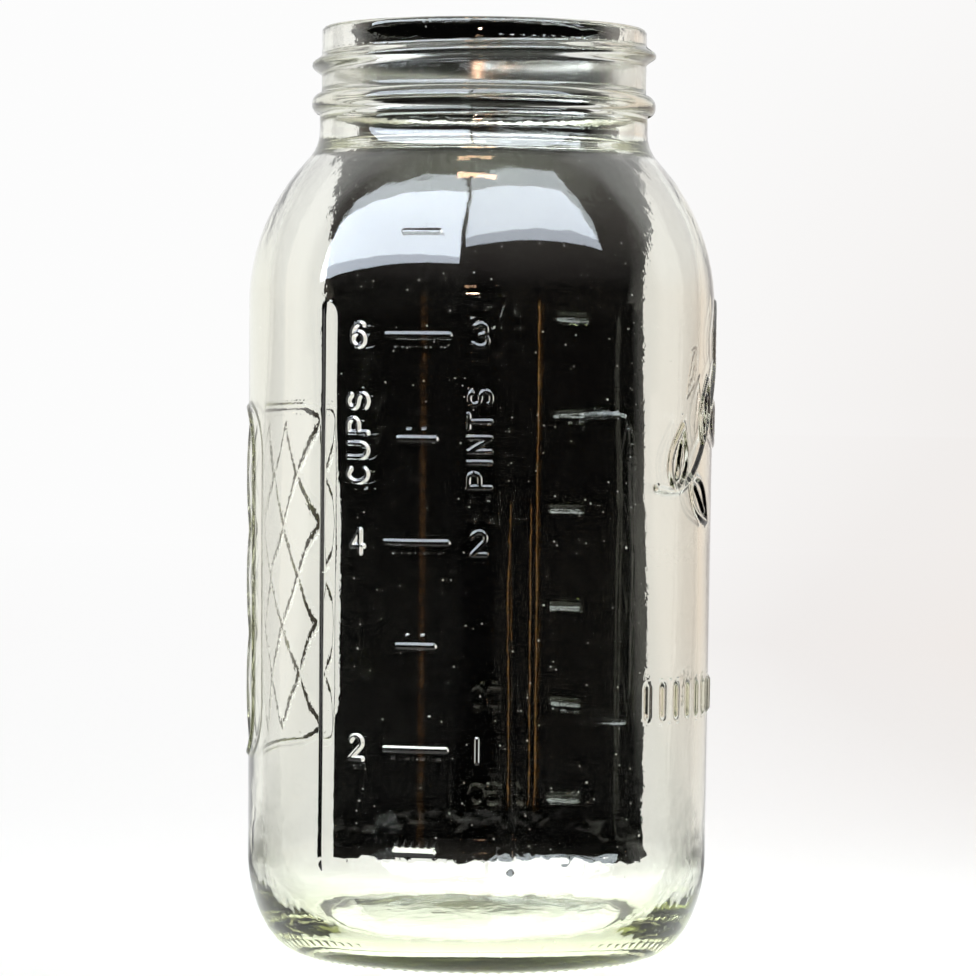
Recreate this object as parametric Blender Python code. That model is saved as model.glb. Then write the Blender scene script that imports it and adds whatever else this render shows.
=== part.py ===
"""Half-gallon wide-mouth preserving jar, blown in a two-part mould as one piece of clear glass.

Run it with blender --background --python part.py, or from Blender's text editor.
Metres, +Z up. The origin is the middle of the base, and the measuring panel faces -Y.
Azimuths are in degrees round the jar from -Y towards +X. Outline points are (radius, height).
"""

import math

import bmesh
import bpy

# Overall form
jar_height = 0.2310
body_radius = 0.0582
heel_top_radius = 0.0573
side_wall = 0.0034

# Base and heel
bearing_radius = 0.0435
bearing_width = 0.0030
heel_height = 0.0260
push_up_height = 0.0035
base_thickness = 0.0060

# Shoulder, where the blown wall is thinner
neck_radius = 0.0410
neck_length = 0.0298
shoulder_lean_degrees = 41.5
neck_rounding = 0.0100
shoulder_rounding = 0.0518
shoulder_wall = 0.0024
inner_shoulder_rounding = 0.0420

# Mouth
mouth_bore_radius = 0.0380
finish_radius = 0.04055
rim_outer_rounding = 0.0010
rim_inner_rounding = 0.0006

# Bead under the thread
bead_depth = 0.0191
bead_width = 0.0052
bead_rise = 0.0022

# Screw thread, one start, right-handed
thread_pitch = 0.00635
thread_width = 0.0044
thread_rise = 0.0024
thread_middle_depth = 0.0080
thread_middle_azimuth = 15
thread_turns = 1.06
thread_fade_turns = 0.09

# Raised ribs that frame the two measuring panels
rib_width = 0.0034
rib_rise = 0.0006
rib_bottom_height = 0.0255
rib_top_height = 0.1635
rib_azimuth = 23.3

# Graduation bars, a cup apart on the front and a quarter litre apart on the back
bar_width = 0.0023
bar_rise = 0.0007
first_bar_height = 0.0300
cup_spacing = 0.0250
cup_bars = 7
long_bar_length = 0.0164
short_bar_length = 0.0104
back_first_bar_height = 0.0337
back_bar_spacing = 0.0253
back_bars = 6
back_bar_length = 0.0095
back_bar_azimuth = 170.4

# Raised border of the plain panel on the left, and the stem of the sprig on the right
border_width = 0.0018
border_rise = 0.0007
border_height = 0.0860
border_breadth = 0.0620
border_corner_radius = 0.0120
border_middle_height = 0.0930
stem_width = 0.0020
stem_rise = 0.0008
stem_length = 0.0560
stem_climb = 0.0330
stem_sway = 0.0070
stem_middle_height = 0.1340

# How deep a raised line is rooted in the wall that carries it
root_depth = 0.0003

# Fineness of the mesh
around_steps = 64
arc_steps = 4
thread_steps_per_turn = 58
span_steps = 6
stem_steps = 14
end_steps = 3
section_shares = (-0.6, 0.0, 0.6)
thread_section_shares = (-0.75, -0.4, 0.0, 0.4, 0.75)
end_least_share = 0.05
weld_distance = 0.000001

glass_tint = (0.86, 0.93, 0.88, 1.0)
glass_roughness = 0.04
glass_ior = 1.52
smooth_edge_degrees = 40


def arc(centre, radii, start_degrees, end_degrees, steps=arc_steps):
    """Points on an arc of an ellipse, with both ends."""
    points = []
    for step in range(steps + 1):
        angle = math.radians(start_degrees + (end_degrees - start_degrees) * step / steps)
        points.append((centre[0] + radii[0] * math.cos(angle), centre[1] + radii[1] * math.sin(angle)))
    return points


def crossing(point, lean, radius):
    """Where the sloping shoulder line through a point reaches a radius."""
    drop = (radius - point[0]) / math.tan(lean)
    return (radius, point[1] - drop)


def rounded_s(top, bottom, lean, top_rounding, bottom_rounding):
    """Shoulder from the neck corner to the body corner, both rounded, listed from the bottom up."""
    reach = math.tan(lean / 2)
    top_centre = (top[0] + top_rounding, top[1] + top_rounding * reach)
    bottom_centre = (bottom[0] - bottom_rounding, bottom[1] - bottom_rounding * reach)
    turn = math.degrees(lean)
    lower = arc(bottom_centre, (bottom_rounding, bottom_rounding), 0, turn, arc_steps + 2)
    upper = arc(top_centre, (top_rounding, top_rounding), 180 + turn, 180)
    return lower + upper


def bowl(radius, edge_height, rise, steps=arc_steps):
    """Shallow crown from the axis to an edge, without the edge itself."""
    points = []
    for step in range(steps):
        share = step / steps
        points.append((radius * share, edge_height + rise * (1 - share**2)))
    return points


def outer_outline():
    """Outside of the jar from the middle of the base up to the rim."""
    lean = math.radians(shoulder_lean_degrees)
    neck_corner = (neck_radius, jar_height - neck_length)
    body_corner = crossing(neck_corner, lean, body_radius)
    points = bowl(bearing_radius - bearing_width, 0, push_up_height)
    points.append((bearing_radius - bearing_width, 0))
    heel_radii = (heel_top_radius - bearing_radius, heel_height)
    points += arc((bearing_radius, heel_height), heel_radii, -90, 0, arc_steps + 2)
    points += rounded_s(neck_corner, body_corner, lean, neck_rounding, shoulder_rounding)
    bead_height = jar_height - bead_depth
    bead_steps = arc_steps + 1
    for step in range(bead_steps + 1):
        across = 2 * step / bead_steps - 1
        base = neck_radius + (finish_radius - neck_radius) * step / bead_steps
        rise = bead_rise * math.sqrt(1 - across**2)
        points.append((base + rise, bead_height + across * bead_width / 2))
    rim_centre = (finish_radius - rim_outer_rounding, jar_height - rim_outer_rounding)
    points += arc(rim_centre, (rim_outer_rounding, rim_outer_rounding), 0, 90, arc_steps - 2)
    return points


def inner_outline():
    """Inside of the jar from the rim down to the middle of the floor."""
    lean = math.radians(shoulder_lean_degrees)
    neck_corner = (neck_radius, jar_height - neck_length)
    inset = (neck_corner[0] - shoulder_wall * math.cos(lean), neck_corner[1] - shoulder_wall * math.sin(lean))
    top = crossing(inset, lean, mouth_bore_radius)
    bottom = crossing(inset, lean, body_radius - side_wall)
    rim_centre = (mouth_bore_radius + rim_inner_rounding, jar_height - rim_inner_rounding)
    points = arc(rim_centre, (rim_inner_rounding, rim_inner_rounding), 90, 180, arc_steps - 2)
    top_rounding = neck_rounding + shoulder_wall
    points += reversed(rounded_s(top, bottom, lean, top_rounding, inner_shoulder_rounding))
    floor_radius = bearing_radius - side_wall
    heel_radii = (heel_top_radius - bearing_radius, heel_height - base_thickness)
    points += arc((floor_radius, heel_height), heel_radii, 0, -90, arc_steps + 1)
    points += reversed(bowl(floor_radius, base_thickness, push_up_height))
    return points


def wall_radius(height):
    """Radius of the outside of the jar at a height, between the heel and the rim."""
    points = outer_outline()
    for low, high in zip(points, points[1:]):
        if low[1] <= height < high[1]:
            share = (height - low[1]) / (high[1] - low[1])
            return low[0] + (high[0] - low[0]) * share
    return finish_radius


def turned(outline):
    """A mesh turned about Z from an outline whose two ends are on the axis."""
    bm = bmesh.new()
    verts = [bm.verts.new((radius, 0, height)) for radius, height in outline]
    edges = [bm.edges.new(pair) for pair in zip(verts, verts[1:])]
    bmesh.ops.spin(
        bm,
        geom=verts + edges,
        cent=(0, 0, 0),
        axis=(0, 0, 1),
        angle=math.tau,
        steps=around_steps,
        use_merge=True,
    )
    bmesh.ops.remove_doubles(bm, verts=bm.verts, dist=weld_distance)
    bmesh.ops.recalc_face_normals(bm, faces=bm.faces)
    return bm


def placed(azimuth, radius, height):
    """A point in space from its azimuth, radius and height."""
    angle = math.radians(azimuth)
    return (radius * math.sin(angle), -radius * math.cos(angle), height)


def wrapped(degrees):
    """An angle brought within half a turn of zero."""
    return (degrees + 180) % 360 - 180


def section(width, rise, shares):
    """Rounded section of a raised line as (across, lift), with its feet under the surface."""
    flare = root_depth / (rise * math.pi / 2)
    foot = width / 2 * (1 + flare)
    crest = [(share * width / 2, rise * math.cos(math.pi / 2 * share)) for share in shares]
    return [(-foot, -root_depth)] + crest + [(foot, -root_depth)]


def add_ridge(bm, path, profile, closed=False, base=wall_radius):
    """A raised line on the wall. A path point is (azimuth, height, share of the full section)."""
    rings = []
    last = len(path) - 1
    for index, (azimuth, height, share) in enumerate(path):
        before = path[index - 1] if index > 0 or closed else path[0]
        after = path[(index + 1) % len(path)] if index < last or closed else path[last]
        radius = base(height)
        along = math.radians(wrapped(after[0] - before[0])) * radius
        climb = after[1] - before[1]
        length = math.hypot(along, climb)
        ring = []
        for across, lift in profile:
            point_height = height + across * share * along / length
            turn = math.degrees(-across * share * climb / length / radius)
            point_radius = base(point_height) + (lift + root_depth) * share - root_depth
            ring.append(bm.verts.new(placed(azimuth + turn, point_radius, point_height)))
        rings.append(ring)
    pairs = list(zip(rings, rings[1:]))
    if closed:
        pairs.append((rings[-1], rings[0]))
    faces = []
    for first, second in pairs:
        for side in range(len(profile)):
            corners = (first[side - 1], first[side], second[side], second[side - 1])
            faces.append(bm.faces.new(corners))
    if not closed:
        faces.append(bm.faces.new(rings[0]))
        faces.append(bm.faces.new(rings[-1]))
    bmesh.ops.recalc_face_normals(bm, faces=faces)


def stations(length, width):
    """Places along a line from its middle, each with its share of the section, for round ends."""
    found = []
    for step in range(end_steps + 1):
        angle = math.pi / 2 * step / end_steps
        inset = width / 2 * (1 - math.cos(angle))
        found.append((-length / 2 + inset, max(math.sin(angle), end_least_share)))
    reach = length / 2 - width / 2
    middle = [(reach * (2 * step / span_steps - 1), 1.0) for step in range(1, span_steps)]
    return found + middle + [(-place, share) for place, share in reversed(found)]


def add_bar(bm, azimuth, height, length):
    """A level graduation bar with round ends."""
    per_length = math.degrees(1 / wall_radius(height))
    path = [(azimuth + per_length * place, height, share) for place, share in stations(length, bar_width)]
    add_ridge(bm, path, section(bar_width, bar_rise, section_shares))


def add_rib(bm, azimuth):
    """An upright rib with round ends at the edge of a measuring panel."""
    middle = (rib_top_height + rib_bottom_height) / 2
    length = rib_top_height - rib_bottom_height
    path = [(azimuth, middle + place, share) for place, share in stations(length, rib_width)]
    add_ridge(bm, path, section(rib_width, rib_rise, section_shares))


def add_border(bm, azimuth):
    """A closed border with round corners, wrapped on the wall."""
    per_length = math.degrees(1 / wall_radius(border_middle_height))
    right = border_breadth / 2 - border_corner_radius
    top = border_height / 2 - border_corner_radius
    radii = (border_corner_radius, border_corner_radius)
    corners = [
        arc((right, -top), radii, -90, 0),
        arc((right, top), radii, 0, 90),
        arc((-right, top), radii, 90, 180),
        arc((-right, -top), radii, 180, 270),
    ]
    flat = []
    for corner, following in zip(corners, corners[1:] + corners[:1]):
        start = corner[-1]
        end = following[0]
        flat += corner
        for step in range(1, span_steps):
            share = step / span_steps
            flat.append((start[0] + (end[0] - start[0]) * share, start[1] + (end[1] - start[1]) * share))
    path = [(azimuth + per_length * x, border_middle_height + y, 1.0) for x, y in flat]
    add_ridge(bm, path, section(border_width, border_rise, section_shares), closed=True)


def add_stem(bm, azimuth):
    """A swaying stem that climbs across the wall, thin at both ends."""
    per_length = math.degrees(1 / wall_radius(stem_middle_height))
    path = []
    for step in range(stem_steps + 1):
        along = 2 * step / stem_steps - 1
        sway = stem_sway * math.sin(math.pi * along)
        height = stem_middle_height + along * stem_climb / 2 + sway
        share = max(math.sqrt(1 - along**2), end_least_share)
        path.append((azimuth + per_length * along * stem_length / 2, height, share))
    add_ridge(bm, path, section(stem_width, stem_rise, section_shares))


def add_thread(bm):
    """The helical thread, which fades into the wall at both ends."""
    steps = round(thread_turns * thread_steps_per_turn)
    path = []
    for step in range(steps + 1):
        turn = thread_turns * (step / steps - 0.5)
        fade = min((thread_turns / 2 - abs(turn)) / thread_fade_turns, 1.0)
        share = max(math.sin(math.pi / 2 * fade), end_least_share)
        height = jar_height - thread_middle_depth + turn * thread_pitch
        path.append((thread_middle_azimuth + 360 * turn, height, share))
    profile = section(thread_width, thread_rise, thread_section_shares)
    add_ridge(bm, path, profile, base=lambda height: finish_radius)


def object_from(bm, name):
    """An object in the scene that holds a finished mesh."""
    mesh = bpy.data.meshes.new(name)
    bm.to_mesh(mesh)
    bm.free()
    made = bpy.data.objects.new(name, mesh)
    bpy.context.scene.collection.objects.link(made)
    return made


def glass_material():
    """Clear soda glass with a faint green tint."""
    material = bpy.data.materials.new("clear_glass")
    material.use_nodes = True
    shader = material.node_tree.nodes["Principled BSDF"]
    shader.inputs["Base Color"].default_value = glass_tint
    shader.inputs["Metallic"].default_value = 0
    shader.inputs["Roughness"].default_value = glass_roughness
    shader.inputs["IOR"].default_value = glass_ior
    shader.inputs["Transmission Weight"].default_value = 1
    return material


for old in list(bpy.data.objects):
    bpy.data.objects.remove(old, do_unlink=True)

# The vessel, turned from the outline of its wall
jar = object_from(turned(outer_outline() + inner_outline()), "glass_jar")
jar.data.materials.append(glass_material())

# The raised glass: thread, panel ribs, graduation bars, border and stem
raised = bmesh.new()
add_thread(raised)
for panel_azimuth in (0, 180):
    for side in (-1, 1):
        add_rib(raised, panel_azimuth + side * rib_azimuth)
for cup in range(cup_bars):
    bar_length = short_bar_length if cup % 2 == 0 else long_bar_length
    add_bar(raised, 0, first_bar_height + cup * cup_spacing, bar_length)
for bar in range(back_bars):
    add_bar(raised, back_bar_azimuth, back_first_bar_height + bar * back_bar_spacing, back_bar_length)
add_border(raised, -90)
add_stem(raised, 90)
guide = object_from(raised, "raised_glass_guide")
guide.hide_render = True
guide.display_type = "WIRE"

union = jar.modifiers.new("raised_glass", "BOOLEAN")
union.operation = "UNION"
union.solver = "EXACT"
union.object = guide
jar.data.shade_smooth()
jar.data.set_sharp_from_angle(angle=math.radians(smooth_edge_degrees))
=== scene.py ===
"""Half-gallon wide-mouth preserving jar in clear glass: its looks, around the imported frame.

Metres, +Z up, origin in the middle of the base. The measuring panel faces -Y. Azimuths are in degrees
round the jar from -Y towards +X. An outline point is (radius, height). A point of a raised line is
(across, height), with across measured along the wall from the middle of its panel, to the right.
"""

import math
from collections import namedtuple

import bpy
import numpy as np
from mathutils import Matrix, Vector, noise


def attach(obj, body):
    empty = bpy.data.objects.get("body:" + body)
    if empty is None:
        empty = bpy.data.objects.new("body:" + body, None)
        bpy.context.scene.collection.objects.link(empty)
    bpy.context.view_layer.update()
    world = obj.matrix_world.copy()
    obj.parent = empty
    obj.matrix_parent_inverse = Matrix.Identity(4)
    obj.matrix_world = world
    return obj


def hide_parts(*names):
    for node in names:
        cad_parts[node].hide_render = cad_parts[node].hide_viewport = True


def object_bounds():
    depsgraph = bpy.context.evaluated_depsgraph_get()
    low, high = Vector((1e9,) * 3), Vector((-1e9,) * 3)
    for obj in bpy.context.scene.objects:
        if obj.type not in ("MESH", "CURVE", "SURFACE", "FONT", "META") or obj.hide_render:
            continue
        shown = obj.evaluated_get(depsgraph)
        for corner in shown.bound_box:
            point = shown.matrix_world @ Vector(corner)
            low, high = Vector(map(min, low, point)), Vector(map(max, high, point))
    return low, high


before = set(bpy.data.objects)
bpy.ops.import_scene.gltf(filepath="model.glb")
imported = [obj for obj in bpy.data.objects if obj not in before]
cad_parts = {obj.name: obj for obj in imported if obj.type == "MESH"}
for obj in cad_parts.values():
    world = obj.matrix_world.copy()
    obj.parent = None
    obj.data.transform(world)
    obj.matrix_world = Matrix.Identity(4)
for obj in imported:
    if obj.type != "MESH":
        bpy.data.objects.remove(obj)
cad_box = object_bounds()
bpy.ops.object.select_all(action="DESELECT")

# Camera
# It stands a little to the right of the measuring panel, level with the upper body, on a long lens.
# Its turn, tilt and roll put the jar where the photograph has it.
camera_azimuth = 15.1
camera_distance = 1.10
camera_height = 0.142
photo_width_px = 976
photo_focal_px = 4389
photo_horizon_px = 385.4
photo_axis_px = 480.0
camera_roll = 0.010


def around(azimuth, distance, height):
    """A place round the jar's axis."""
    turn = math.radians(azimuth)
    return Vector((distance * math.sin(turn), -distance * math.cos(turn), height))


bpy.ops.object.camera_add(location=around(camera_azimuth, camera_distance, camera_height))
camera = bpy.context.object
camera.name = "camera"
camera.data.lens = camera.data.sensor_width * photo_focal_px / photo_width_px
camera_yaw = math.radians(camera_azimuth) - (photo_width_px / 2 - photo_axis_px) / photo_focal_px
camera_tilt = math.pi / 2 - (photo_width_px / 2 - photo_horizon_px) / photo_focal_px
camera_turns = ((camera_yaw, "Z"), (camera_tilt, "X"), (camera_roll, "Z"))
camera_matrix = Matrix.Identity(4)
for turn, axis in camera_turns:
    camera_matrix = camera_matrix @ Matrix.Rotation(turn, 4, axis)
camera.rotation_euler = camera_matrix.to_euler()
bpy.context.scene.camera = camera

# Blown vessel
# One wall of clear soda glass, blown in a two-part mould from a pressed mouth. It is turned here from
# the outline of its wall, thick at the heel and the pushed-up floor, even up the side.
jar_height = cad_box[1].z - cad_box[0].z
body_radius = 0.0582
heel_top_radius = 0.0573
side_wall = 0.0034
bearing_radius = 0.0435
bearing_width = 0.0030
bearing_rounding = 0.0009
heel_height = 0.0260
push_up_height = 0.0035
base_thickness = 0.0060
neck_radius = 0.0410
neck_length = 0.0298
shoulder_lean = math.radians(41.5)
neck_rounding = 0.0100
shoulder_rounding = 0.0518
shoulder_wall = 0.0018
inner_neck_rounding = 0.0060
inner_shoulder_rounding = 0.0518
mouth_bore_radius = 0.0380
finish_radius = 0.04055
rim_outer_rounding = 0.0012
rim_inner_rounding = 0.0008
bead_depth = 0.0191
bead_width = 0.0052
bead_rise = 0.0022
nub_rise = 0.0003
uneven_rise = 0.0005
turning_steps = 96
coarse_row = 0.0038
finish_row = 0.0016
crown_steps = 8
bearing_steps = 3
heel_steps = 16
floor_bend_steps = 14
shoulder_steps = 12
neck_steps = 8
bead_steps = 14
rim_steps = 6
lip_steps = 5
weld_distance = 0.000001


def arc(centre, radii, start_degrees, end_degrees, steps):
    """Points on an arc of an ellipse, with both ends."""
    points = []
    for angle in np.radians(np.linspace(start_degrees, end_degrees, steps + 1)):
        points.append((centre[0] + radii[0] * math.cos(angle), centre[1] + radii[1] * math.sin(angle)))
    return points


def crossing(point, radius):
    """Where the sloping shoulder line through a point reaches a radius."""
    return (radius, point[1] - (radius - point[0]) / math.tan(shoulder_lean))


def rounded_shoulder(top, bottom, top_rounding, bottom_rounding):
    """Shoulder from the body corner up to the neck corner, both rounded."""
    reach = math.tan(shoulder_lean / 2)
    turn = math.degrees(shoulder_lean)
    top_centre = (top[0] + top_rounding, top[1] + top_rounding * reach)
    bottom_centre = (bottom[0] - bottom_rounding, bottom[1] - bottom_rounding * reach)
    lower = arc(bottom_centre, (bottom_rounding, bottom_rounding), 0, turn, shoulder_steps)
    upper = arc(top_centre, (top_rounding, top_rounding), 180 + turn, 180, neck_steps)
    return lower + upper


def crown(radius, edge_height):
    """The pushed-up middle of the base, from the axis to its edge, without the edge."""
    shares = np.arange(crown_steps) / crown_steps
    return [(radius * share, edge_height + push_up_height * (1 - share**2)) for share in shares]


def spaced(points, longest):
    """An outline with points added, so that no step is longer than this."""
    filled = [points[0]]
    for start, end in zip(points, points[1:]):
        steps = max(math.ceil(math.dist(start, end) / longest), 1)
        for step in range(1, steps + 1):
            share = step / steps
            filled.append((start[0] + (end[0] - start[0]) * share, start[1] + (end[1] - start[1]) * share))
    return filled


neck_corner = (neck_radius, jar_height - neck_length)
bead_height = jar_height - bead_depth

bearing_edge = (bearing_radius - bearing_width + bearing_rounding, nub_rise + bearing_rounding)
foot = crown(bearing_edge[0] - bearing_rounding, bearing_edge[1])
foot += arc(bearing_edge, (bearing_rounding, bearing_rounding), 180, 270, bearing_steps)
heel_radii = (heel_top_radius - bearing_radius, heel_height - nub_rise)
heel = arc((bearing_radius, heel_height), heel_radii, -90, 0, heel_steps)
shoulder = rounded_shoulder(neck_corner, crossing(neck_corner, body_radius), neck_rounding, shoulder_rounding)
bead_roots = np.linspace(neck_radius, finish_radius, bead_steps + 1)
bead = []
for root, (across, rise) in zip(bead_roots, arc((0, 0), (1, 1), 180, 0, bead_steps)):
    bead.append((root + bead_rise * rise, bead_height + across * bead_width / 2))
rim_outer = (finish_radius - rim_outer_rounding, jar_height - rim_outer_rounding)
rim = arc(rim_outer, (rim_outer_rounding, rim_outer_rounding), 0, 90, rim_steps)
outer_wall = spaced(heel + shoulder + bead[:1], coarse_row) + bead
outer_wall += spaced(bead[-1:] + rim[:1], finish_row) + rim

rim_inner = (mouth_bore_radius + rim_inner_rounding, jar_height - rim_inner_rounding)
lip = arc(rim_inner, (rim_inner_rounding, rim_inner_rounding), 90, 180, lip_steps)
inner_corner = (
    neck_corner[0] - shoulder_wall * math.cos(shoulder_lean),
    neck_corner[1] - shoulder_wall * math.sin(shoulder_lean),
)
inner_shoulder = rounded_shoulder(
    crossing(inner_corner, mouth_bore_radius),
    crossing(inner_corner, body_radius - side_wall),
    inner_neck_rounding,
    inner_shoulder_rounding,
)
floor_radius = bearing_radius - side_wall
floor_radii = (heel_top_radius - bearing_radius, heel_height - base_thickness)
floor_bend = arc((floor_radius, heel_height), floor_radii, 0, -90, floor_bend_steps)
inner_wall = spaced(lip + inner_shoulder[::-1] + floor_bend, coarse_row)
inner_wall += crown(floor_radius, base_thickness)[::-1]

outline = []
for point in foot + outer_wall + inner_wall:
    if not outline or math.dist(outline[-1], point) > weld_distance:
        outline.append(point)

bpy.ops.mesh.primitive_plane_add(size=side_wall, location=(outline[0][0], 0, outline[0][1]))
jar = bpy.context.object
jar.name = "clear_glass_jar"
bpy.ops.object.mode_set(mode="EDIT")
bpy.ops.mesh.merge(type="CENTER")
for start, end in zip(outline, outline[1:]):
    step = (end[0] - start[0], 0, end[1] - start[1])
    bpy.ops.mesh.extrude_region_move(TRANSFORM_OT_translate={"value": step})
bpy.ops.mesh.select_all(action="SELECT")
bpy.ops.mesh.spin(steps=turning_steps, angle=math.tau, center=(0, 0, 0), axis=(0, 0, 1))
bpy.ops.mesh.select_all(action="SELECT")
bpy.ops.mesh.remove_doubles(threshold=weld_distance)
bpy.ops.mesh.normals_make_consistent(inside=False)
bpy.ops.mesh.select_all(action="DESELECT")
bpy.ops.object.mode_set(mode="OBJECT")
bpy.ops.object.transform_apply(location=True, rotation=True, scale=True)


def wall_radius(heights):
    """Radius of the outside of the jar at these heights, from the heel to the rim."""
    radii, levels = np.array(outer_wall).T
    return np.interp(heights, levels, radii)


def places(elements, field):
    """Azimuth in degrees, radius and height of each vertex or face of the jar."""
    found = np.empty(len(elements) * 3)
    elements.foreach_get(field, found)
    x, y, height = found.reshape(-1, 3).T
    return np.degrees(np.arctan2(x, -y)), np.hypot(x, y), height


def on_outside(radii, heights):
    """Which places lie on the outside of the side wall, shoulder and mouth."""
    facet_slack = body_radius * (1 - math.cos(math.pi / turning_steps)) * 3
    inside_ends = (heights > heel_height / 2) & (heights < jar_height - rim_outer_rounding / 2)
    return inside_ends & (np.abs(radii - wall_radius(heights)) < facet_slack)


def select_faces(chosen):
    """Selects these faces of the jar in edit mode, and nothing else."""
    bpy.context.tool_settings.mesh_select_mode = (False, False, True)
    jar.data.vertices.foreach_set("select", np.zeros(len(jar.data.vertices), bool))
    jar.data.edges.foreach_set("select", np.zeros(len(jar.data.edges), bool))
    jar.data.polygons.foreach_set("select", chosen)
    bpy.ops.object.mode_set(mode="EDIT")


# Front measuring panel
# Two upright ribs frame it. Between them are the bars a cup apart, the cups on the left, the pints on
# the right, and the two unit words, all cut into the mould and so raised on the glass.
RaisedLine = namedtuple("RaisedLine", "azimuth path half_width rise steep_side halvings")
raised_lines = []

rib_slope_width = 0.0033
rib_rise = 0.00030
rib_steepness = 4
rib_bottom_height = 0.0255
rib_top_height = 0.1600
rib_spread = 0.0007
left_rib_azimuth = -24.9
right_rib_azimuth = 23.0
bar_width = 0.0016
bar_rise = 0.00034
first_bar_height = 0.0303
cup_spacing = 0.0247
cup_bars = 7
long_bar_length = 0.0170
short_bar_length = 0.0107
cups_column = -0.0156
pints_column = 0.0152
digit_size = (0.0034, 0.0054)
letter_size = (0.0033, 0.0054)
stroke_width = 0.0013
stroke_rise = 0.00034
cups_word = "CUPS"
cups_pitch = 0.0059
pints_word = "PINTS"
pints_pitch = 0.0055
narrow_pitch_share = 0.55


def add_line(azimuth, path, width, rise, steep_side=0, halvings=3):
    """A raised line on the wall, with round ends and a rounded back."""
    apart = [path[0]] + [end for start, end in zip(path, path[1:]) if math.dist(start, end) > weld_distance]
    raised_lines.append(RaisedLine(azimuth, np.array(apart), width / 2, rise, steep_side, halvings))


def add_bar(azimuth, across, height, length, halvings=4):
    """A level graduation bar."""
    reach = (length - bar_width) / 2
    path = [(across - reach, height), (across + reach, height)]
    add_line(azimuth, path, bar_width, bar_rise, halvings=halvings)


# Each sign is made of strokes in a box one unit wide and one unit high.
signs = {
    "0": [arc((0.5, 0.5), (0.5, 0.5), 90, 450, 20)],
    "1": [[(0.5, 0), (0.5, 1)]],
    "2": [arc((0.5, 0.72), (0.48, 0.28), 165, -35, 10) + [(0, 0), (1, 0)]],
    "3": [arc((0.46, 0.76), (0.44, 0.24), 145, -80, 10), arc((0.46, 0.26), (0.54, 0.26), 85, -150, 12)],
    "4": [[(0.74, 0), (0.74, 1), (0, 0.3), (1, 0.3)]],
    "5": [[(0.92, 1), (0.16, 1)] + arc((0.46, 0.32), (0.54, 0.32), 128, -148, 14)],
    "6": [arc((0.5, 0.3), (0.5, 0.3), 0, 360, 16), arc((0.62, 0.46), (0.62, 0.54), 195, 62, 12)],
    "7": [[(0, 1), (1, 1), (0.36, 0)]],
    "C": [arc((0.56, 0.5), (0.56, 0.5), 48, 312, 16)],
    "U": [[(0, 1)] + arc((0.5, 0.36), (0.5, 0.36), 180, 360, 12) + [(1, 1)]],
    "P": [[(0, 0), (0, 1)] + arc((0.58, 0.74), (0.42, 0.26), 90, -90, 10) + [(0, 0.48)]],
    "S": [arc((0.5, 0.75), (0.48, 0.25), 25, 265, 11) + arc((0.5, 0.25), (0.5, 0.25), 85, -150, 11)],
    "I": [[(0.5, 0), (0.5, 1)]],
    "N": [[(0, 0), (0, 1), (1, 0), (1, 1)]],
    "T": [[(0, 1), (1, 1)], [(0.5, 1), (0.5, 0)]],
}


def add_sign(azimuth, centre, size, sign, upright=True, rise=stroke_rise, halvings=4):
    """A digit, or a letter of a word that reads upwards."""
    for stroke in signs[sign]:
        path = []
        for share_across, share_up in stroke:
            x = (share_across - 0.5) * size[0]
            y = (share_up - 0.5) * size[1]
            path.append((centre[0] + x, centre[1] + y) if upright else (centre[0] - y, centre[1] + x))
        add_line(azimuth, path, stroke_width, rise, halvings=halvings)


def add_word(across, height, word, pitch):
    """A unit word that reads upwards, centred at a height. A narrow I takes less room."""
    rooms = [pitch * (narrow_pitch_share if sign == "I" else 1) for sign in word]
    place = height - sum(rooms) / 2
    for sign, room in zip(word, rooms):
        add_sign(0, (across, place + room / 2), letter_size, sign, upright=False)
        place += room


def add_rib(azimuth, side, halvings):
    """The upright edge of a measuring panel: it climbs gently from the panel and drops off outside."""
    reach = rib_slope_width / 2
    path = [(side * rib_spread, rib_bottom_height + reach), (0, rib_top_height - reach)]
    add_line(azimuth, path, rib_slope_width * 2, rib_rise, side, halvings)


add_rib(left_rib_azimuth, -1, 3)
add_rib(right_rib_azimuth, 1, 3)
for cup in range(cup_bars):
    add_bar(0, 0, first_bar_height + cup * cup_spacing, long_bar_length if cup % 2 else short_bar_length)
for pint in (1, 2, 3):
    pint_height = first_bar_height + (2 * pint - 1) * cup_spacing
    add_sign(0, (cups_column, pint_height), digit_size, str(2 * pint))
    add_sign(0, (pints_column, pint_height), digit_size, str(pint))
word_height = first_bar_height + 4 * cup_spacing
add_word(cups_column, word_height, cups_word, cups_pitch)
add_word(pints_column, word_height, pints_word, pints_pitch)

# Rear measuring panel
# The same two ribs, with a low rib up the middle and bars every quarter litre. Plain numbers stand
# beside some of them. Through the jar these show blurred behind the front panel.
rear_first_bar_height = 0.0337
rear_bar_spacing = 0.0253
rear_bars = 6
rear_bar_length = 0.0095
rear_bar_across = -0.0098
middle_rib_width = 0.0026
middle_rib_rise = 0.00022
rear_number_across = 0.0100
rear_number_pitch = 0.0045
rear_stroke_rise = 0.00016
rear_numbers = {0: "250", 1: "500", 3: "1000", 5: "1500"}

add_rib(180 + left_rib_azimuth, -1, 2)
add_rib(180 + right_rib_azimuth, 1, 2)
middle_rib = [(0, rear_first_bar_height), (0, rib_top_height)]
add_line(180, middle_rib, middle_rib_width, middle_rib_rise)
for bar in range(rear_bars):
    add_bar(180, rear_bar_across, rear_first_bar_height + bar * rear_bar_spacing, rear_bar_length, 3)
for bar, number in rear_numbers.items():
    for index, sign in enumerate(number):
        across = rear_number_across + (index - (len(number) - 1) / 2) * rear_number_pitch
        place = (across, rear_first_bar_height + bar * rear_bar_spacing)
        add_sign(180, place, digit_size, sign, rise=rear_stroke_rise, halvings=3)

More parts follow.
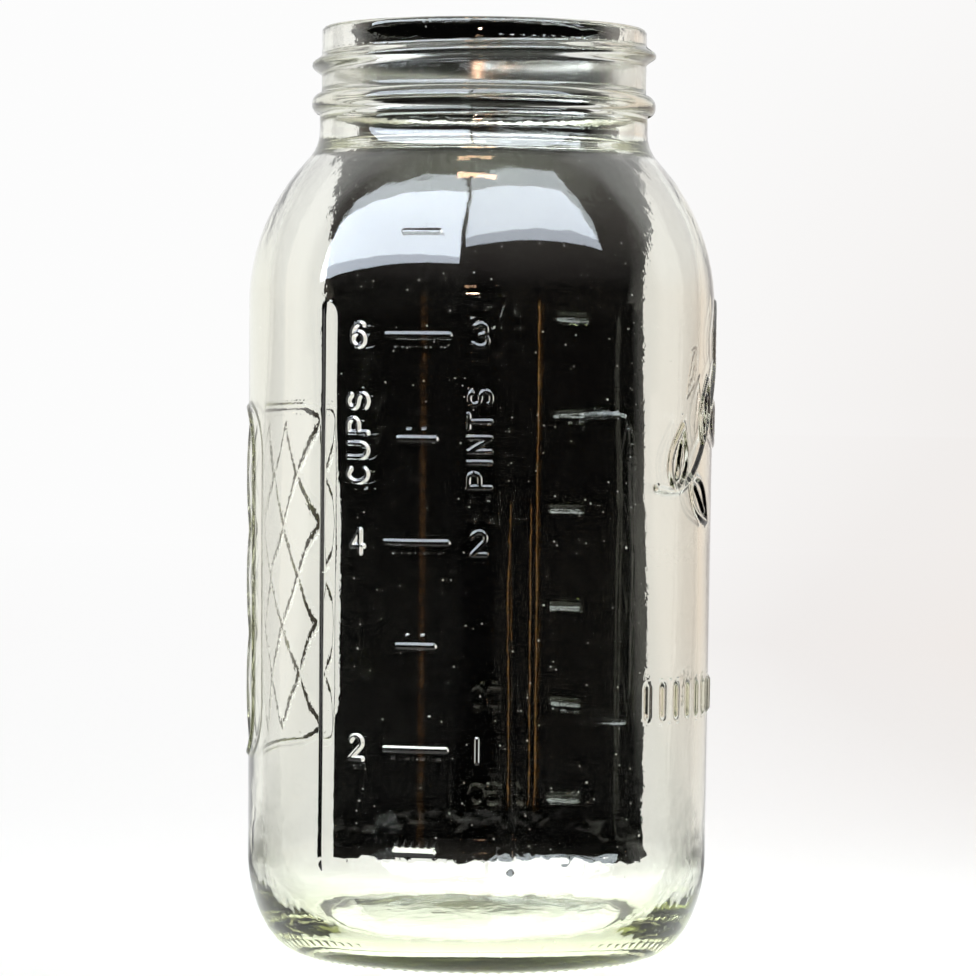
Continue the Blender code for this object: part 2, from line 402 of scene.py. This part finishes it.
# Plain panel on the left
# A raised border with round corners holds a lattice of diamonds, a pattern as on any pressed glass.
border_width = 0.0020
border_rise = 0.0006
border_height = 0.0860
border_breadth = 0.0620
border_corner_radius = 0.0120
border_corner_steps = 8
border_middle_height = 0.0930
border_margin = 0.0045
lattice_width = 0.0018
lattice_rise = 0.00045
lattice_diamonds = 3

corner_place = (border_breadth / 2 - border_corner_radius, border_height / 2 - border_corner_radius)
corner_radii = (border_corner_radius, border_corner_radius)
border = []
for side_across, side_up, start in ((1, -1, -90), (1, 1, 0), (-1, 1, 90), (-1, -1, 180)):
    centre = (side_across * corner_place[0], border_middle_height + side_up * corner_place[1])
    border += arc(centre, corner_radii, start, start + 90, border_corner_steps)
add_line(-90, border + border[:1], border_width, border_rise)

lattice_reach = (border_breadth / 2 - border_margin, border_height / 2 - border_margin)
for slant in (-1, 1):
    for line in range(1 - lattice_diamonds, lattice_diamonds):
        shift = 2 * line / lattice_diamonds
        path = []
        for end in (max(-1, shift - 1), min(1, shift + 1)):
            height = border_middle_height + (shift - end) * lattice_reach[1]
            path.append((end * lattice_reach[0] * slant, height))
        add_line(-90, path, lattice_width, lattice_rise)

# Plain panel on the right
# A leafy sprig climbs across it over a band of short upright flutes, both in the manner of old
# pressed glass.
stem_width = 0.0018
stem_rise = 0.0007
stem_length = 0.0560
stem_climb = 0.0330
stem_sway = 0.0070
stem_middle_height = 0.1340
leaf_length = 0.0165
leaf_half_breadth = 0.0038
leaf_line_width = 0.0018
leaf_rise = 0.0006
leaf_fullness = 0.8
leaf_steps = 9
vein_ends = (0.2, 0.75)
leaf_pairs = 3
first_leaf_along = -0.72
leaf_pair_step = 0.56
upper_leaf_lean = 78
lower_leaf_lean = -42
stem_steps = 25
flute_count = 11
flute_pitch = 0.0060
flute_height = 0.0090
flute_width = 0.0022
flute_rise = 0.0006
flute_middle_height = 0.0657


def stem_point(along):
    """A point of the stem, from -1 at its foot to 1 at its tip."""
    sway = stem_sway * math.sin(math.pi * along)
    return (along * stem_length / 2, stem_middle_height + along * stem_climb / 2 + sway)


def add_leaf(along, lean_degrees):
    """An outlined leaf with a vein, growing from the stem."""
    root = stem_point(along)
    lean = math.radians(lean_degrees)
    edges = []
    for side in (1, -1):
        for share in np.linspace(0, 1, leaf_steps)[::side]:
            breadth = leaf_half_breadth * math.sin(math.pi * share**leaf_fullness)
            edges.append((share * leaf_length, side * breadth))
    vein = [(share * leaf_length, 0) for share in vein_ends]
    for part in (edges, vein):
        path = []
        for x, y in part:
            turned_x = x * math.cos(lean) - y * math.sin(lean)
            turned_y = x * math.sin(lean) + y * math.cos(lean)
            path.append((root[0] + turned_x, root[1] + turned_y))
        add_line(90, path, leaf_line_width, leaf_rise)


add_line(90, [stem_point(along) for along in np.linspace(-1, 1, stem_steps)], stem_width, stem_rise)
for pair in range(leaf_pairs):
    along = first_leaf_along + pair * leaf_pair_step
    add_leaf(along, upper_leaf_lean)
    add_leaf(along + leaf_pair_step / 2, lower_leaf_lean)
for flute in range(flute_count):
    across = (flute - (flute_count - 1) / 2) * flute_pitch
    reach = (flute_height - flute_width) / 2
    flute_path = [(across, flute_middle_height - reach), (across, flute_middle_height + reach)]
    add_line(90, flute_path, flute_width, flute_rise)


def line_distances(line, azimuths, heights):
    """Distance along the wall from each place to the middle of a raised line.

    A steep side is counted as if it were as wide as the other one.
    """
    across = np.radians((azimuths - line.azimuth + 180) % 360 - 180) * body_radius
    reach = line.half_width + coarse_row * 2
    low = line.path.min(axis=0) - reach
    high = line.path.max(axis=0) + reach
    near = (across > low[0]) & (across < high[0]) & (heights > low[1]) & (heights < high[1])
    found = np.full(len(across), np.inf)
    points = np.stack([across[near], heights[near]], axis=1)[:, None, :]
    starts = line.path[None, :-1]
    runs = line.path[None, 1:] - starts
    shares = np.clip(((points - starts) * runs).sum(axis=2) / (runs**2).sum(axis=2), 0, 1)
    gaps = points - starts - shares[..., None] * runs
    sideways = np.abs(gaps[..., 0])
    steep_end = line.half_width / rib_steepness
    steep_sideways = np.minimum(sideways, steep_end) * (rib_steepness - 1) + sideways
    sideways = np.where(gaps[..., 0] * line.steep_side > 0, steep_sideways, sideways)
    found[near] = np.hypot(sideways, gaps[..., 1]).min(axis=1)
    return found


def soft_step(share):
    """Rises smoothly from 0 to 1."""
    share = np.clip(share, 0, 1)
    return share * share * (3 - 2 * share)


# Screw thread
# One right-handed turn and a little more, pressed with the mouth. It fades into the wall at both ends.
thread_pitch = 0.00635
thread_width = 0.0050
thread_rise = 0.0024
thread_middle_depth = 0.0080
thread_middle_azimuth = 15
thread_turns = 1.06
thread_fade_turns = 0.09
thread_flank_share = 0.9
thread_halvings = 2


def thread_lift(azimuths, heights):
    """How far the thread stands out at each place of the mouth, and how near the place is to it."""
    lift = np.zeros(len(azimuths))
    gap = np.full(len(azimuths), np.inf)
    for whole_turn in (-1, 0, 1):
        turns = (azimuths - thread_middle_azimuth) / 360 + whole_turn
        middle = jar_height - thread_middle_depth + turns * thread_pitch
        fade = np.clip((thread_turns / 2 - np.abs(turns)) / thread_fade_turns, 0, 1)
        off = np.abs(heights - middle)
        ridge = soft_step((1 - off / (thread_width / 2)) / thread_flank_share)
        lift = np.maximum(lift, thread_rise * np.sin(math.pi / 2 * fade) * ridge)
        gap = np.where(fade > 0, np.minimum(gap, off), gap)
    return lift, gap


# Raising the lines
# The wall is made finer round each line and set back on the circle. Then it is pushed out along its
# normals by as much as the line stands proud there.
cell_margins = (0.75, 0.75, 0.9, 1.3)

for halving, cell_margin in enumerate(cell_margins):
    azimuths, radii, heights = places(jar.data.polygons, "center")
    margin = cell_margin * 2 * math.pi * body_radius / turning_steps / 2**halving
    outside = on_outside(radii, heights)
    chosen = np.zeros(len(heights), bool)
    for line in raised_lines:
        if line.halvings > halving:
            chosen |= line_distances(line, azimuths, heights) < line.half_width + margin
    if halving < thread_halvings:
        thread_gap = thread_lift(azimuths, heights)[1]
        chosen |= (heights > bead[-1][1]) & (thread_gap < (thread_width + finish_row) / 2)
    select_faces(chosen & outside)
    bpy.ops.mesh.subdivide(number_cuts=1)
    bpy.ops.object.mode_set(mode="OBJECT")
    azimuths, radii, heights = places(jar.data.vertices, "co")
    outside = on_outside(radii, heights)
    rounded = np.where(outside, wall_radius(heights), radii)
    turns = np.radians(azimuths)
    placed = np.stack([rounded * np.sin(turns), -rounded * np.cos(turns), heights], axis=1)
    jar.data.vertices.foreach_set("co", placed.ravel())
    jar.data.update()


def push_out(group_name, lifts):
    """Moves the jar's vertices along their normals by these lengths."""
    greatest = float(lifts.max())
    group = jar.vertex_groups.new(name=group_name)
    for index in np.flatnonzero(lifts > 0):
        group.add([int(index)], float(lifts[index]) / greatest, "REPLACE")
    push = jar.modifiers.new(group_name, "DISPLACE")
    push.strength = greatest
    push.mid_level = 0
    push.direction = "NORMAL"
    push.vertex_group = group_name
    bpy.ops.object.modifier_apply(modifier=group_name)
    jar.vertex_groups.remove(jar.vertex_groups[group_name])


azimuths, radii, heights = places(jar.data.vertices, "co")
outside = on_outside(radii, heights)
lifts = np.zeros(len(heights))
for line in raised_lines:
    nearness = np.clip(1 - line_distances(line, azimuths, heights) / line.half_width, 0, 1)
    section = nearness if line.steep_side else nearness * (2 - nearness)
    lifts = np.maximum(lifts, line.rise * section)
lifts = np.where(heights > bead[-1][1], thread_lift(azimuths, heights)[0], lifts)
push_out("raised_glass", np.where(outside, lifts, 0))

# Foot ring
# The ring that the jar stands on is knurled with small nubs, so that hot glass doesn't stick to the
# conveyor. Only the nubs touch the table.
nub_count = 96
nub_cuts = 3

azimuths, radii, heights = places(jar.data.polygons, "center")
ring_inside = bearing_radius - bearing_width
ring_outside = bearing_radius + bearing_rounding * 3
select_faces((radii > ring_inside) & (radii < ring_outside) & (heights < nub_rise + bearing_rounding))
bpy.ops.mesh.subdivide(number_cuts=nub_cuts)
bpy.ops.object.mode_set(mode="OBJECT")
azimuths, radii, heights = places(jar.data.vertices, "co")
ring_share = 1 - np.abs(radii - (ring_inside + ring_outside) / 2) / (bearing_width / 2)
nub_share = 0.5 + 0.5 * np.cos(np.radians(azimuths) * nub_count)
under = heights < nub_rise + bearing_rounding / 2
push_out("foot_ring", np.where(under, nub_rise * soft_step(ring_share * 2) * nub_share, 0))

# Uneven inside
# The inside never touched a mould, so it waves a little: long upright waves where the glass was
# stretched, and a looser swell near the heel, where it lay thickest.
wave_scale = (38.0, 38.0, 13.0)
wave_offset = Vector((7.3, 0, 0))
small_wave_scale = 2.3
small_wave_share = 0.2
waves_bottom = base_thickness * 0.8
waves_top = jar_height - neck_length

azimuths, radii, heights = places(jar.data.vertices, "co")
waves = np.zeros(len(heights))
for index, vertex in enumerate(jar.data.vertices):
    deep_inside = radii[index] < wall_radius(heights[index]) - side_wall / 2
    if waves_bottom < heights[index] < waves_top and deep_inside:
        spot = Vector(scale * value for scale, value in zip(wave_scale, vertex.co)) + wave_offset
        swell = 0.5 + 0.5 * noise.noise(spot) + small_wave_share * noise.noise(spot * small_wave_scale)
        fade = soft_step((waves_top - heights[index]) / neck_rounding)
        waves[index] = uneven_rise * min(max(swell, 0), 1) * fade
push_out("uneven_inside", waves)

bpy.ops.object.shade_smooth()

# Clear glass
# Soda glass, fire-polished at the mouth, with a faint olive cast where it is thick. Its surface has the
# orange peel of an iron mould, more of it on the shoulder, and it runs in loose waves round the heel.
glass_ior = 1.52
absorption_colour = (0.50, 0.54, 0.06, 1)
absorption_density = 22
shadow_tint = (0.96, 0.97, 0.94, 1)
bump_distance = 0.0001
peel_scale = 1200.0
peel_share = 0.03
shoulder_peel_share = 0.04
ripple_scale = 260.0
ripple_share = 0.07
heel_ripple_share = 0.5
shoulder_ripple_share = 0.25
swell_scale = 60.0
swell_share = 0.5
heel_wave_top = 0.050
heel_wave_fade = 0.020
shoulder_wave_start = 0.172
shoulder_wave_fade = 0.0125
scuff_scale = 160.0
worn_roughness = 0.16
mouth_roughness = 0.15
dull_band_top = jar_height - 0.0065
dull_band_fade = 0.00143
outside_mouth_radius = 0.0392
outside_body_radius = 0.0565
# Painted glint: brown lines along the mould seams stand in for warm light caught by them.
painted_seam_glint_colour = (0.30, 0.15, 0.06, 1)
painted_seam_glint_bottom = 0.030
painted_seam_glint_top = 0.1645
painted_seam_glint_fade = 0.002
front_glint_middle = 0.0015
front_glint_reach = 0.0011
front_glint_strength = 0.25
front_glint_scale = 700.0
front_glint_start = 0.4
front_glint_fade = 1 / 3
rear_glint_offset = 0.0011
rear_glint_line = 0.00012
rear_glint_wander = 0.0004
rear_glint_wander_scale = 120.0
short_glint_top = 0.112
dust_colour = (0.80, 0.80, 0.78, 1)
dust_scale = 380.0
dust_size = 0.055
dust_chance = 0.6


class Value:
    """A shader socket that takes part in sums."""

    tree = None

    def __init__(self, socket):
        self.socket = socket

    @classmethod
    def node(cls, kind, settings=None, output=0, **inputs):
        """Adds a node, with its settings first and then the values or links of its sockets."""
        made = cls.tree.nodes.new(kind)
        for name, setting in (settings or {}).items():
            if name == "stops":
                ramp = made.color_ramp.elements
                while len(ramp) < len(setting):
                    ramp.new(1.0)
                for element, (position, colour) in zip(ramp, setting):
                    element.position = position
                    element.color = colour
            else:
                setattr(made, name, setting)
        for name, value in inputs.items():
            socket = made.inputs[int(name[1:])] if name[1:].isdigit() else made.inputs[name.replace("_", " ")]
            if isinstance(value, cls):
                cls.tree.links.new(value.socket, socket)
            else:
                socket.default_value = value
        return cls(made.outputs[output]) if made.outputs else made

    def apply(self, operation, other=0.0):
        """The value, taken through one step of arithmetic."""
        return Value.node("ShaderNodeMath", {"operation": operation}, i0=self, i1=other)

    def __add__(self, other):
        return self.apply("ADD", other)

    def __mul__(self, other):
        return self.apply("MULTIPLY", other)

    def __sub__(self, other):
        return self.apply("SUBTRACT", other)

    def __rsub__(self, other):
        return (self * -1) + other

    def __gt__(self, other):
        return self.apply("GREATER_THAN", other)

    def clipped(self):
        """The value, kept between 0 and 1."""
        return self.apply("MAXIMUM", 0.0).apply("MINIMUM", 1.0)

    def above(self, start, fade):
        """0 up to the start, and rising from there to 1 over the fade."""
        return ((self - start) * (1 / fade)).clipped()

    def below(self, end, fade):
        """0 from the end on, and rising below it to 1 over the fade."""
        return ((end - self) * (1 / fade)).clipped()

    def beside(self, middle, reach):
        """1 at the middle, falling to 0 at the reach on both sides."""
        return (1.0 - (self - middle).apply("ABSOLUTE") * (1 / reach)).clipped()


def new_material(name):
    """An empty node material, ready for its nodes."""
    material = bpy.data.materials.new(name)
    material.use_nodes = True
    material.node_tree.nodes.clear()
    Value.tree = material.node_tree
    return material


glass = new_material("clear_soda_glass")
place = Value.node("ShaderNodeTexCoord", output="Object")
rightness = Value.node("ShaderNodeSeparateXYZ", output="X", Vector=place)
backness = Value.node("ShaderNodeSeparateXYZ", output="Y", Vector=place)
height = Value.node("ShaderNodeSeparateXYZ", output="Z", Vector=place)
level_place = Value.node("ShaderNodeVectorMath", {"operation": "MULTIPLY"}, i0=place, i1=(1, 1, 0))
radius = Value.node("ShaderNodeVectorMath", {"operation": "LENGTH"}, output="Value", i0=level_place)
peel = Value.node("ShaderNodeTexNoise", Vector=place, Scale=peel_scale, Detail=1.0, Roughness=0.5)
ripple = Value.node("ShaderNodeTexNoise", Vector=place, Scale=ripple_scale, Detail=1.0, Roughness=0.4)
swell = Value.node("ShaderNodeTexNoise", Vector=place, Scale=swell_scale, Detail=1.0, Roughness=0.4)
on_heel = height.below(heel_wave_top, heel_wave_fade)
on_shoulder = height.above(shoulder_wave_start, shoulder_wave_fade)
fine_relief = peel * (on_shoulder * shoulder_peel_share + peel_share)
ripple_strength = on_heel * heel_ripple_share + on_shoulder * shoulder_ripple_share + ripple_share
relief = fine_relief + ripple * ripple_strength + swell * swell_share
bump = Value.node("ShaderNodeBump", Strength=1.0, Distance=bump_distance, Height=relief)

# The foot is scuffed, and the outside of the mouth is dull between the thread and the bead.
scuff = Value.node("ShaderNodeTexNoise", Vector=place, Scale=scuff_scale, Detail=4.0, Roughness=0.7)
worn = scuff * height.below(bearing_rounding, bearing_rounding)
dull_band = height.above(bead_height, dull_band_fade) * height.below(dull_band_top, dull_band_fade)
dull = dull_band * (radius > outside_mouth_radius)
surface = Value.node(
    "ShaderNodeBsdfPrincipled",
    Base_Color=(1, 1, 1, 1),
    Roughness=worn * worn_roughness + dull * mouth_roughness,
    IOR=glass_ior,
    Transmission_Weight=1.0,
    Normal=bump,
)

# A painted glint of warm light lies in brown where the halves of the mould met: a faint band in front, and at
# the back one long fine line and one short one. It stands in for the light that the seams catch.
grain = Value.node("ShaderNodeTexNoise", Vector=place, Scale=front_glint_scale, Detail=3.0, Roughness=0.8)
front_glint = rightness.beside(front_glint_middle, front_glint_reach)
front_glint = front_glint * grain.above(front_glint_start, front_glint_fade)
wander = Value.node("ShaderNodeTexNoise", Vector=place, Scale=rear_glint_wander_scale, Detail=2.0)
line_place = rightness.apply("ABSOLUTE") + (wander - 0.5) * rear_glint_wander
rear_glint = line_place.beside(rear_glint_offset, rear_glint_line) * (backness > 0.0)
rear_glint = rear_glint * height.below(short_glint_top, painted_seam_glint_fade).apply("MAXIMUM", rightness > 0.0)
glint_ends = height.above(painted_seam_glint_bottom, painted_seam_glint_fade) * height.below(painted_seam_glint_top, painted_seam_glint_fade)
painted_seam_glint = (front_glint * front_glint_strength + rear_glint) * glint_ends * (radius > outside_body_radius)
seam_glint_paint = Value.node("ShaderNodeBsdfDiffuse", Color=painted_seam_glint_colour)
glinted = Value.node("ShaderNodeMixShader", i0=painted_seam_glint, i1=surface, i2=seam_glint_paint)

# A few grains of dust lie on the glass.
grain_distance = Value.node("ShaderNodeTexVoronoi", Vector=place, Scale=dust_scale)
grain_chance = Value.node("ShaderNodeTexVoronoi", output="Color", Vector=place, Scale=dust_scale)
dusty = (1.0 - (grain_distance > dust_size)) * (grain_chance > dust_chance)
dust = Value.node("ShaderNodeBsdfDiffuse", Color=dust_colour)
dusted = Value.node("ShaderNodeMixShader", i0=dusty, i1=glinted, i2=dust)

shadow_ray = Value.node("ShaderNodeLightPath", output="Is Shadow Ray")
see_through = Value.node("ShaderNodeBsdfTransparent", Color=shadow_tint)
shown = Value.node("ShaderNodeMixShader", i0=shadow_ray, i1=dusted, i2=see_through)
cast = Value.node("ShaderNodeVolumeAbsorption", Color=absorption_colour, Density=absorption_density)
Value.node("ShaderNodeOutputMaterial", Surface=shown, Volume=cast)
jar.data.materials.clear()
jar.data.materials.append(glass)

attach(jar, "root")
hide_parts("glass_jar")

# Floor and backdrop
# A pale floor that runs out of view, with a painted shadow that darkens it to the right, and an upright dark
# card behind the jar. The card is seen only through the glass and in it, as glass is lit to bring out its
# raised lines. Where the glass mirrors the floor, it is pale only near the jar and behind it.
pale_left = (0.975, 0.975, 0.975, 1)
# The darker stop to the right is a painted shadow on the floor and backdrop.
painted_shadow_right = (0.880, 0.855, 0.840, 1)
cream_left = (0.89, 0.86, 0.84, 1)
cream_right = (0.87, 0.76, 0.68, 1)
pale_stops = (
    (0.0, cream_left),
    (0.42, pale_left),
    (0.505, pale_left),
    (0.56, painted_shadow_right),
    (0.8, cream_right),
)
dark_colour = (0.001, 0.001, 0.001, 1)
floor_size = 24.0
floor_glow_start = 0.8
floor_glow_fade = 2.0
floor_tone_start = 0.125
floor_tone_fade = 1.25
pale_reach = 0.12
pale_fade = 0.08
pale_back = -0.3
pale_back_fade = 0.2
card_width = 0.1110
card_height = 0.60
card_distance = 0.149
card_shift = 0.0034

toward_camera = around(camera_azimuth, 1, 0)
toward_right = around(camera_azimuth + 90, 1, 0)


def lean(vector, along):
    """How far a shader's vector points along a direction of the room."""
    dot = {"operation": "DOT_PRODUCT"}
    return Value.node("ShaderNodeVectorMath", dot, output="Value", i0=vector, i1=along)


def pale_tone(rightness, lowness):
    """The pale backdrop, with a painted shadow that makes it a shade darker to the right low down, and cream
    far out at both sides.
    """
    return Value.node("ShaderNodeValToRGB", {"stops": pale_stops}, Fac=rightness * lowness * 0.5 + 0.5)


def mirrored(times):
    """1 for what the glass mirrors just so many times, 0 for what is seen in any other way."""
    depth = Value.node("ShaderNodeLightPath", output="Glossy Depth")
    just = (depth > times - 0.5) - (depth > times + 0.5)
    return just * (1.0 - Value.node("ShaderNodeLightPath", output="Is Diffuse Ray"))


bpy.ops.mesh.primitive_plane_add(size=floor_size, location=(0, 0, cad_box[0].z))
floor = bpy.context.object
floor.name = "floor"
floor_material = new_material("pale_floor")
spot = Value.node("ShaderNodeTexCoord", output="Object")
reach = Value.node("ShaderNodeVectorMath", {"operation": "LENGTH"}, output="Value", i0=spot)
floor_rightness = lean(spot, toward_right).apply("DIVIDE", reach)
tone = pale_tone(floor_rightness, reach.above(floor_tone_start, floor_tone_fade))
floor_lit = Value.node("ShaderNodeBsdfDiffuse", Color=tone)
floor_glow = Value.node("ShaderNodeEmission", Color=tone, Strength=1.0)
glow_share = reach.above(floor_glow_start, floor_glow_fade)
floor_pale = Value.node("ShaderNodeMixShader", i0=glow_share, i1=floor_lit, i2=floor_glow)
floor_dark = Value.node("ShaderNodeBsdfDiffuse", Color=dark_colour)
in_front = lean(spot, toward_camera).above(pale_back, pale_back_fade)
dark_share = reach.above(pale_reach, pale_fade) * in_front * mirrored(1)
floor_shader = Value.node("ShaderNodeMixShader", i0=dark_share, i1=floor_pale, i2=floor_dark)
Value.node("ShaderNodeOutputMaterial", Surface=floor_shader)
floor.data.materials.append(floor_material)

card_middle = cad_box[0].z + card_height / 2
card_place = around(camera_azimuth + 180, card_distance, card_middle) + toward_right * card_shift
bpy.ops.mesh.primitive_plane_add(size=1, location=card_place)
card = bpy.context.object
card.name = "dark_card"
card.scale = (card_width, card_height, 1)
card.rotation_euler = (math.pi / 2, 0, math.radians(camera_azimuth))
card.visible_camera = False
card.visible_diffuse = False
card.visible_shadow = False
card_material = new_material("dark_card")
card_lit = Value.node("ShaderNodeBsdfDiffuse", Color=dark_colour)
Value.node("ShaderNodeOutputMaterial", Surface=card_lit)
card.data.materials.append(card_material)

# Light
# Two tall windows in front of the jar, a warm lamp high up and a warm tube low behind the camera are for
# the reflections alone. A soft light high in the room is for everything else.
lamp_target = Vector((0, 0, jar_height / 2))
window_distance = 1.6
window_colour = (0.80, 0.88, 1.0)
warm_colour = (1.0, 0.62, 0.40)
soft_colour = (1.0, 0.98, 0.96)
Window = namedtuple("Window", "name turn left right bottom top power")
windows = (
    Window("left_window", -20, -3.78, 0.25, 0.76, 3.12, 340),
    Window("right_window", 20, -0.87, 1.60, 1.20, 3.64, 180),
)
FarLamp = namedtuple("FarLamp", "name turn elevation distance size colour power reflected")
far_lamps = (
    FarLamp("warm_lamp", -8, 73, 2.0, (0.5, 0.10), warm_colour, 4.0, True),
    FarLamp("warm_tube", -4.3, 6.3, 2.6, (0.30, 0.012), warm_colour, 7, True),
    FarLamp("top_light", 20, 78, 1.8, (1.4, 1.4), soft_colour, 0.8, False),
)


def add_lamp(name, place, facing, size, colour, power, reflected):
    """A rectangular lamp that shines in one direction, for the reflections or for all but them."""
    turn = facing.to_track_quat("-Z", "Y").to_euler()
    bpy.ops.object.light_add(type="AREA", location=place, rotation=turn)
    lamp = bpy.context.object
    lamp.name = name
    lamp.data.shape = "RECTANGLE"
    lamp.data.size, lamp.data.size_y = size
    lamp.data.color = colour
    lamp.data.energy = power
    lamp.visible_diffuse = not reflected
    lamp.visible_glossy = reflected
    lamp.visible_transmission = reflected


for window in windows:
    away = around(camera_azimuth + window.turn, 1, 0)
    sideways = around(camera_azimuth + window.turn + 90, 1, 0)
    place = away * window_distance + sideways * (window.left + window.right) / 2
    place.z = (window.bottom + window.top) / 2
    size = (window.right - window.left, window.top - window.bottom)
    add_lamp(window.name, place, -away, size, window_colour, window.power, True)
for lamp in far_lamps:
    rise = math.radians(lamp.elevation)
    lamp_height = lamp_target.z + lamp.distance * math.sin(rise)
    place = around(camera_azimuth + lamp.turn, lamp.distance * math.cos(rise), lamp_height)
    add_lamp(lamp.name, place, lamp_target - place, lamp.size, lamp.colour, lamp.power, lamp.reflected)

# Room
# Pale all round, as the camera and the clear glass see it, but for a painted shadow that darkens it to the
# right low down. In reflections the side behind the jar is bright, and the side in front, where the camera
# stands, is dark low down and dim higher up. What the glass mirrors twice is nearly as dim all round.
dim_colour = (0.62, 0.55, 0.52, 1)
dim_low_strength = 0.01
dim_rise_strength = 0.45
dim_rise_start = 0.12
dim_rise_fade = 1 / 3
front_edge = -0.2
front_fade = 0.125
mirrored_twice_share = 0.8
tone_top = 1 / 7

world = bpy.data.worlds.new("room")
bpy.context.scene.world = world
world.use_nodes = True
world.node_tree.nodes.clear()
Value.tree = world.node_tree
direction = Value.node("ShaderNodeTexCoord", output="Generated")
upness = Value.node("ShaderNodeSeparateXYZ", output="Z", Vector=direction)
tone = pale_tone(lean(direction, toward_right), upness.below(tone_top, tone_top))
pale_room = Value.node("ShaderNodeBackground", Color=tone)
dim_strength = upness.above(dim_rise_start, dim_rise_fade) * dim_rise_strength + dim_low_strength
dim_room = Value.node("ShaderNodeBackground", Color=dim_colour, Strength=dim_strength)
in_front = lean(direction, toward_camera).above(front_edge, front_fade)
dim_share = in_front * mirrored(1) + mirrored(2) * mirrored_twice_share
room = Value.node("ShaderNodeMixShader", i0=dim_share, i1=pale_room, i2=dim_room)
Value.node("ShaderNodeOutputWorld", Surface=room)

# Light may cross many walls of glass.
glass_bounces = 24
mirror_bounces = 12
scene = bpy.context.scene
scene.view_settings.view_transform = "Standard"
scene.cycles.max_bounces = glass_bounces
scene.cycles.transmission_bounces = glass_bounces
scene.cycles.glossy_bounces = mirror_bounces
scene.cycles.transparent_max_bounces = glass_bounces
